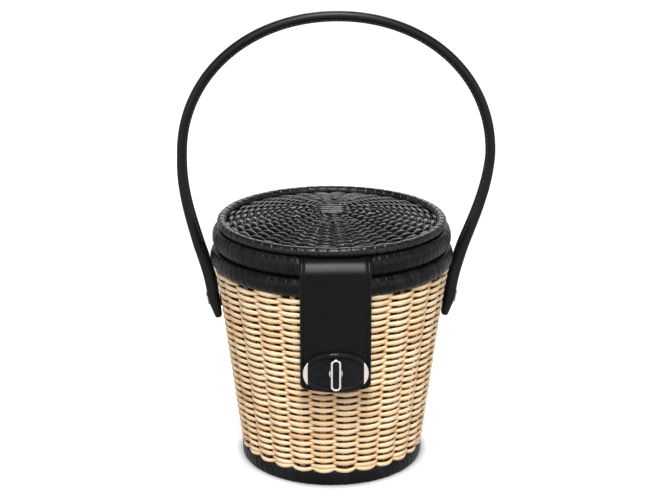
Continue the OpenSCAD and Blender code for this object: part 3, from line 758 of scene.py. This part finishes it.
def rounded_end(half_w, bow, corner):
    """How much shorter a strip is at x than in its middle."""
    def end_of(x):
        over = np.clip(np.abs(x) - (half_w - corner), 0, corner) / corner
        return bow * (x / half_w) ** 2 + corner * (1 - np.sqrt(1 - over ** 2 + 1e-9))
    return end_of


def strap():
    shell = Shell()
    mid_y, half_w = -strap_lo[1] - LEATHER_T / 2, strap_hi[0]
    path = over_hoop_path(-1, -strap_hi[1], mid_y, STRAP_BEND_R, [(mid_y, strap_lo[2])])
    slab(shell, path, half_w, rounded_end(half_w, STRAP_BOW, STRAP_CORNER))
    shell.piece("strap_leather", [LEATHER], "lid", ["lock_strap"], "black_leather")


def hinge():
    """One leather strip from the lid down the back of the bucket, across the hinge, made as one
    piece that rides on neither the lid nor the bucket.
    """
    shell = Shell()
    back, half_w = bag_leaf_hi[1] - LEATHER_T / 2, bag_leaf_hi[0]
    lie_z, end_z, rim_z = rim_lo[2] - 3 * HINGE_BEND_R, bag_leaf_lo[2], rim_lo[2]
    lie, end = (wall_r(z) + HINGE_LIE + LEATHER_T / 2 for z in (lie_z, end_z))
    path = over_hoop_path(1, lid_leaf_lo[1], back, HINGE_BEND_R,
                          [(back, HINGE_Z), (back, rim_z + 1.5), (back - 0.4, rim_z - 0.5),
                           (lie + 0.35, lie_z + 1.2), (lie, lie_z), (end, end_z)])
    slab(shell, path, half_w, rounded_end(half_w, HINGE_BOW, HINGE_CORNER))
    piece = shell.piece("hinge_leather", [LEATHER], None, ["hinge_bag_leaf", "hinge_lid_leaf"],
                        "black_leather")
    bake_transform(piece)


# Lock. Profiles are lists of (inset from the outline, depth).
LOCK_X, LOCK_Z = (plate_lo[0] + plate_hi[0]) / 2, (plate_lo[2] + plate_hi[2]) / 2
LOCK_W, LOCK_H = plate_hi[0] - plate_lo[0], plate_hi[2] - plate_lo[2]
STRAP_FRONT = strap_lo[1]
LOCK_T = STRAP_FRONT - plate_lo[1]
LOCK_BORDER, LOCK_SINK, LOCK_FULL, CRESCENT_X, CRESCENT_IN = 2.8, 1.2, 0.89, 16.3, 0.35
BAR_W, BAR_T, HUB_D, SPINDLE_D, CATCH_L, CATCH_W, CATCH_T = 6.4, 3.2, 8.0, 4.0, 14.0, 4.0, 2.0


def oval_loop(inset, y):
    """Loop round the plate at height y over the strap."""
    a = full_turn(96, 0.5)
    return stack(LOCK_X + (LOCK_W / 2 - inset) * eased(np.cos(a), LOCK_FULL), STRAP_FRONT - y,
                 LOCK_Z + (LOCK_H / 2 - inset) * eased(np.cos(a - np.pi / 2), LOCK_FULL))


def lock_crescent(shell, side):
    """Polished end of the plate's border, cut off by a straight upright line."""
    a = np.linspace(-1, 1, 41)
    loops = []
    for inset, y in ((CRESCENT_IN, LOCK_T - 0.5), (0.4, LOCK_T - 0.05), (0.62, LOCK_T + 0.16),
                     (1.0, LOCK_T + 0.22)):
        w, h, cut_x = LOCK_W / 2 - inset, LOCK_H / 2 - inset, CRESCENT_X + inset - CRESCENT_IN
        reach = math.sqrt(1 - (cut_x / w) ** (2 / LOCK_FULL))
        z = h * a * reach ** LOCK_FULL
        x = w * (1 - np.abs(z / h) ** (2 / LOCK_FULL)) ** (LOCK_FULL / 2)
        loop_x = np.concatenate([x, np.full(9, cut_x)])
        loop_z = np.concatenate([z, np.linspace(z[-1], z[0], 11)[1:-1]])
        loops.append(stack(LOCK_X + side * loop_x, STRAP_FRONT - y, LOCK_Z + loop_z))
    shell.tube(np.stack(loops), slot=1)


def lock_plate():
    shell = Shell()
    field = LOCK_T - LOCK_SINK
    profile = [(0.1, -0.2), (0, 0.2), (0, LOCK_T - 1.0), (0.18, LOCK_T - 0.45),
               (0.6, LOCK_T - 0.12), (1.1, LOCK_T), (1.8, LOCK_T), (2.3, LOCK_T - 0.1),
               (2.65, LOCK_T - 0.4), (LOCK_BORDER, field), (LOCK_BORDER + 0.3, field + 0.12),
               (4.2, field + 0.22), (6.0, field + 0.3), (8.0, field + 0.36), (10.0, field + 0.4),
               (LOCK_H / 2 - 0.4, field + 0.4)]
    shell.tube(np.stack([oval_loop(inset, y) for inset, y in profile]))
    for side in (-1, 1):
        lock_crescent(shell, side)
    shell.piece("lock_oval", [ENAMEL, POLISHED], "lid", ["lock_plate"], "lock_metal")


def bars(length, width, profile):
    """Loops of an upright bar with round ends, for a profile of (inset, y)."""
    a = full_turn(48)
    end = np.where(np.sin(a) >= 0, 1, -1) * (length - width) / 2
    return np.stack([stack(LOCK_X + (width / 2 - inset) * np.cos(a), y,
                           LOCK_Z + end + (width / 2 - inset) * np.sin(a)) for inset, y in profile])


def discs(profile):
    """Loops round the lock's axis, for a profile of (diameter, y)."""
    a = full_turn(48)
    return np.stack([stack(LOCK_X + d / 2 * np.cos(a), y, LOCK_Z + d / 2 * np.sin(a))
                     for d, y in profile])


def turn_bar():
    """Turning bar with a dark inlay between polished edges, on its hub, spindle and catch."""
    shell = Shell()
    length, front, end = bar_hi[2] - bar_lo[2], bar_lo[1], bar_hi[1]
    back, catch, field = front + BAR_T, end - CATCH_T, STRAP_FRONT - LOCK_T + LOCK_SINK
    edges = bars(length, BAR_W, [(0.35, back), (0, back - 0.35), (0, front + 1.1),
                                 (0.2, front + 0.4), (0.55, front + 0.08), (0.9, front),
                                 (1.2, front + 0.08), (1.45, front + 0.5)])
    n, m = edges.shape[:2]
    shell.add(edges, [grid_faces(n, m, False, True), np.arange(m)[::-1]])
    inlay = bars(length, BAR_W, [(1.4, front + 0.52), (1.6, front + 0.36), (2.2, front + 0.28),
                                 (2.8, front + 0.26)])
    n, m = inlay.shape[:2]
    shell.add(inlay, [grid_faces(n, m, False, True), (n - 1) * m + np.arange(m)], slot=1)
    shell.tube(discs([(HUB_D, back + 0.01), (HUB_D, field - 0.45), (HUB_D - 0.4, field - 0.32)]))
    shell.tube(discs([(SPINDLE_D, field - 0.35), (SPINDLE_D, catch)]))
    shell.tube(bars(CATCH_L, CATCH_W, [(0.3, catch), (0, catch + 0.3), (0, end - 0.3), (0.3, end)]))
    shell.piece("turn_bar_polished", [POLISHED, ENAMEL], "lock", ["turn_bar"], "lock_metal")


# Handle: rolled over the top, with flat ends that taper to rounded tips
HANDLE_T, TAB_T, TAB_FULL, TAB_TIP, TAB_W, TAB_TAPER = 6.2, 7.6, 7.0, 3.4, 11.0, 13.0
TAB_GAP, TAB_TILT, TAB_ROOT, RIM_HUG = 0.9, 1.3, 3.0, 1.0
TIP_ROUND, TIP_LEAST, TAB_NARROW = 1.6, 0.3, 0.4
ARCH_RISE, ARCH_EASE, ARCH_FULL = 84.9, 34.0, 0.97
ARCH_LEAN = (handle_lo[0] + handle_hi[0]) / 2
ARCH_X = (handle_hi[0] - handle_lo[0] - HANDLE_T) / 2
ARCH_Z = handle_hi[2] - HANDLE_T / 2 - ARCH_RISE
TAB_X = wall_r(PIVOT_Z) + TAB_GAP
TAB_END = PIVOT_Z - handle_lo[2]
# Where the flat section turns into the rolled one, and how square the flat one is
ROLL_FROM, ROLL_OVER, FLAT_T, FLAT_W = 8, 40, 0.7, 0.6
STITCH_FROM, STITCH_PITCH, STITCH_L, STITCH_R = 34, 3.0, 2.1, 0.26
# Place of a stitch in halves of thickness and width, and how far it is sunk and bulges
STITCH_U, STITCH_V, STITCH_SINK, STITCH_RISE = -0.66, 0.515, 0.05, 0.1
STITCH_BULGE = np.array([0.25, 0.85, 1.0, 0.85, 0.25])
CAP_R, WASHER_IN = 3.6, 0.5
# Extra thickness of the ends towards the wall, by height above the pivot
HUG = np.array([(-TAB_END, 0.0), (-18, 0.6), (-9, 0.6), (0, 0.5), (14, 0.5), (22, 0.0)])
# Rolled section: a round outer cord and a flat seam inside, in halves of thickness and width
ROLLED = np.array([(1.0, 0.0), (0.95, 0.34), (0.80, 0.63), (0.52, 0.85), (0.16, 0.93),
                   (-0.16, 0.84), (-0.38, 0.66), (-0.55, 0.54), (-0.72, 0.50), (-0.88, 0.47),
                   (-0.97, 0.40), (-1.0, 0.25)])
ROLLED = np.concatenate([ROLLED, (ROLLED * (1, -1))[:0:-1]])


def handle_half():
    """One side from the tip to the top: x, z, thickness in the arch's plane, width across it."""
    steps = []
    tip = TIP_ROUND * np.array([0, 0.06, 0.25, 0.55])
    for rise in np.concatenate([tip, np.linspace(TIP_ROUND, TAB_END, 13)]):
        d = TAB_END - rise
        taper = max(0, d - (TAB_END - TAB_TAPER)) / TAB_TAPER
        t = TAB_FULL - (TAB_FULL - TAB_TIP) * taper
        full = max(TIP_LEAST, math.sqrt(1 - (1 - min(1, rise / TIP_ROUND)) ** 2))
        steps.append((TAB_X - TAB_TILT * d / TAB_END + t / 2, PIVOT_Z - d, t * full,
                      TAB_W * (1 - TAB_NARROW * taper ** 1.5) * full))
    root = PIVOT_Z + TAB_ROOT
    p = np.array([(wall_r(root) + TAB_GAP + TAB_FULL / 2, root),
                  (RIM_R + RIM_HUG, (rim_lo[2] + rim_hi[2]) / 2),
                  (ARCH_X, ARCH_Z - ARCH_EASE), (ARCH_X, ARCH_Z)])
    for t in np.linspace(0, 0.98, 50):
        x, z = ((1 - t) ** 3 * p[0] + 3 * t * (1 - t) ** 2 * p[1]
                + 3 * t * t * (1 - t) * p[2] + t ** 3 * p[3])
        swell, shrink = min(1, t / 0.3), max(0, (t - 0.4) / 0.6)
        steps.append((x, z,
                      TAB_FULL + (TAB_T - TAB_FULL) * swell - (TAB_T - HANDLE_T) * shrink,
                      TAB_W + (HANDLE_T - TAB_W) * min(1, t / 0.7)))
    for a in np.radians(np.linspace(0, 90, 61)):
        steps.append((ARCH_X * eased(np.cos(a), ARCH_FULL),
                      ARCH_Z + ARCH_RISE * eased(np.cos(np.pi / 2 - a), ARCH_FULL),
                      HANDLE_T, HANDLE_T))
    return np.array(steps)


def handle():
    half = handle_half()
    path = np.concatenate([half, (half * (-1, 1, 1, 1))[-2::-1]])
    path[:, 0] += ARCH_LEAN * np.clip((path[:, 1] - rim_hi[2]) / (ARCH_Z - rim_hi[2]), 0, 1)
    step = np.gradient(path[:, :2], axis=0)
    step /= np.linalg.norm(step, axis=1)[:, None]
    out = np.stack([step[:, 1], -step[:, 0]], -1)
    x, z, t, w = (path[:, k:k + 1] for k in range(4))
    a = np.arctan2(ROLLED[:, 1], ROLLED[:, 0])
    flat = np.stack([eased(np.cos(a), FLAT_T), eased(np.sin(a), FLAT_W)], -1)
    roll = smooth_step(z - PIVOT_Z - ROLL_FROM, 0, ROLL_OVER)[:, :, None]
    section = ROLLED * roll + flat * (1 - roll)
    hug = np.interp(z - PIVOT_Z, HUG[:, 0], HUG[:, 1])
    u = section[..., 0] * t / 2 - hug * (section[..., 0] < -0.1)
    shell = Shell()
    shell.tube(stack(x + u * out[:, 0:1], section[..., 1] * w / 2, z + u * out[:, 1:2]))
    shell.piece("handle_leather", [HANDLE_LEATHER], "handle", ["handle"], "black_leather")
    handle_stitches(path, out, np.interp(PIVOT_Z + STITCH_FROM, half[:, 1],
                                         run_length(path[:, :2])[:len(half)]))


def handle_stitches(path, out, start):
    """Rows of stitches on both sides of the rolled part's seam, start away from each tip."""
    shell = Shell()
    seam, phi = run_length(path[:, :2]), full_turn(6)
    around_u, around_y = (STITCH_R * STITCH_BULGE[:, None] * f(phi) for f in (np.cos, np.sin))
    for s in np.arange(start, seam[-1] - start, STITCH_PITCH):
        places = s + np.linspace(-STITCH_L / 2, STITCH_L / 2, len(STITCH_BULGE))
        x, z, t, w, out_x, out_z = (np.interp(places, seam, q)[:, None]
                                    for q in (*path.T, *out.T))
        in_u = STITCH_U * t / 2
        for side in (1, -1):
            y = side * (STITCH_V * w / 2 - STITCH_SINK + STITCH_RISE * STITCH_BULGE[:, None])
            shell.tube(stack(x + out_x * in_u + out_x * around_u, y + around_y,
                             z + out_z * in_u + out_z * around_u))
    shell.piece("handle_stitches", [THREAD], "handle", (), "black_leather")


def on_pivot(name, material, body, profile, slot, x0, lean):
    """Round piece on both ends of the handle's axis, from profile (radius, height over x0)."""
    shell = Shell()
    a = full_turn(40)
    c, s = math.cos(lean), math.sin(lean)
    for side in (-1, 1):
        shell.tube(np.stack([stack(side * (x0 + h * c + r * np.sin(a) * s), r * np.cos(a),
                                   PIVOT_Z - h * s + r * np.sin(a) * c) for r, h in profile]))
    shell.piece(name, [material], body, (), slot)


def handle_fixings():
    """Low rivet caps on the outer face of the ends, and dark leather spacer washers towards the
    wall, which also fill the gap between the ends and the wall to stand in for its shade.
    """
    tab = handle_half()[:30]
    face = np.interp(PIVOT_Z + CAP_R * np.array([-1, 0, 1]), tab[:, 1], tab[:, 0] + tab[:, 2] / 2)
    cap = [(CAP_R, -1.0), (CAP_R, 0.1), (CAP_R - 0.3, 0.24), (CAP_R - 1.0, 0.32), (1.0, 0.36)]
    on_pivot("handle_rivet_caps", DULL_METAL, "handle", cap, "lock_metal", face[1],
             math.atan2(face[2] - face[0], 2 * CAP_R))
    # The washers are spacers and also a dark fill where there is shade between the ends and the
    # wall
    washer = [(5.0, -1.4), (5.2, -0.3), (5.0, -0.1), (2.2, -0.1)]
    on_pivot("handle_washers", LEATHER, "bucket", washer, "black_leather", TAB_X - WASHER_IN, 0.0)


def dress(node, material):
    """Gives a solid that stays in view its material."""
    materials = frame["nodes"][node].data.materials
    materials.clear()
    materials.append(material)


wall_weave()
wall_stakes()
rings()
lid_weave()
strap()
hinge()
lock_plate()
turn_bar()
handle()
handle_fixings()
for node in ("keeper_base", "keeper_rails", "keeper_face", "lock_back_plate",
             "keeper_rivets", "hinge_rivets", "handle_rivets"):
    dress(node, DULL_METAL)
dress("bottom_board", BOARD)

# Stage, light and camera. The floor and the backdrop glow white for the camera, less where a
# surface mirrors them, and give little light; the lamps light the bag.
CAMERA_PLACE, CAMERA_PITCH, CAMERA_YAW = (2.035, -979.4, 442.8), 17.53, 1.8
FOCAL_PX, FRAME_PX, SENSOR = 1658.2, 670, 36.0
CLIP_NEAR, CLIP_FAR = 0.05, 50
FLOOR_HALF, FLOOR_GREY, FLOOR_MIRRORED = 6.0, 0.3, 0.5
# Glow by distance from the middle: low under and just round the foot, a painted contact shadow,
# then white
FLOOR_GLOW_AND_SHADOW = [(0.0555, 0.1), (0.0615, 0.8), (0.9, 0.95)]
# Glow by height of the direction: white at the horizon, dim above
SKY_GLOW = [(0.2, 1.0), (0.55, 0.14)]
SKY_MIRRORED, AMBIENT = 0.78, 0.3
# Name, place, height that it is aimed at, size and watts
LAMPS = [("key", (-0.1, -1.0, 0.9), 0.15, (0.8, 0.4), 5.6),
         ("left", (-0.95, -0.8, 0.5), 0.1, (0.4, 0.8), 3.1),
         ("right", (0.95, -0.8, 0.5), 0.1, (0.4, 0.8), 4.25),
         ("back", (0.1, 1.1, 0.75), 0.12, (0.9, 0.4), 4.8),
         ("top", (0, -0.38, 1.05), 0.15, (0.1, 0.6), 12.0),
         ("brow", (0, -0.75, 0.85), 0.15, (0.1, 0.32), 3.0)]


def stage():
    mesh = bpy.data.meshes.new("floor")
    corners = [(x * FLOOR_HALF, y * FLOOR_HALF, 0) for x, y in ((-1, -1), (1, -1), (1, 1), (-1, 1))]
    mesh.from_pydata(corners, [], [(0, 1, 2, 3)])
    paint = Paint("floor_white", (FLOOR_GREY,) * 3, 0.9, Specular_IOR_Level=0.0,
                  Emission_Color=(1, 1, 1))
    away = paint.nodes.new("ShaderNodeVectorMath")
    away.operation = "LENGTH"
    paint.links.new(paint.place(), away.inputs[0])
    # The glow dips round the foot: a painted contact shadow
    glow = paint.ramp(away.outputs["Value"], FLOOR_GLOW_AND_SHADOW)
    paint.feed(Emission_Strength=paint.calc("MULTIPLY", paint.seen(FLOOR_MIRRORED), glow))
    mesh.materials.append(paint.material)
    add_object("floor", mesh)


def world():
    studio = bpy.data.worlds.new("studio")
    bpy.context.scene.world = studio
    tree = NodeTree(studio)
    background = tree.nodes["Background"].inputs
    axes = tree.nodes.new("ShaderNodeSeparateXYZ")
    tree.links.new(tree.place("Generated"), axes.inputs["Vector"])
    seen = tree.seen(SKY_MIRRORED)
    glow = tree.calc("MULTIPLY", seen, tree.ramp(axes.outputs["Z"], SKY_GLOW))
    soft = tree.calc("MULTIPLY", tree.calc("SUBTRACT", 1.0, seen), AMBIENT)
    tree.set(background["Color"], (1, 1, 1))
    tree.set(background["Strength"], tree.calc("ADD", glow, soft))


def lamp(name, place, aim_z, size, watts):
    data = bpy.data.lights.new(name, "AREA")
    data.shape = "RECTANGLE"
    data.size, data.size_y = size
    data.energy = watts
    obj = add_object(name, data)
    obj.location = place
    x, y, z = np.array((0, 0, aim_z)) - np.array(place)
    obj.rotation_euler = (math.atan2(np.hypot(x, y), -z), 0, math.atan2(x, -y) + math.pi)


def camera():
    data = bpy.data.cameras.new("camera")
    data.sensor_width, data.lens = SENSOR, FOCAL_PX / FRAME_PX * SENSOR
    data.clip_start, data.clip_end = CLIP_NEAR, CLIP_FAR
    obj = add_object("camera", data)
    yaw = math.radians(CAMERA_YAW)
    c, s = math.cos(yaw), math.sin(yaw)
    x, y, z = (v * MM for v in CAMERA_PLACE)
    obj.location = (x * c + y * s, y * c - x * s, z)
    obj.rotation_euler = (math.radians(90 - CAMERA_PITCH), 0, -yaw)
    bpy.context.scene.camera = obj


stage()
world()
for settings in LAMPS:
    lamp(*settings)
camera()

bpy.context.scene.view_settings.view_transform = "Standard"
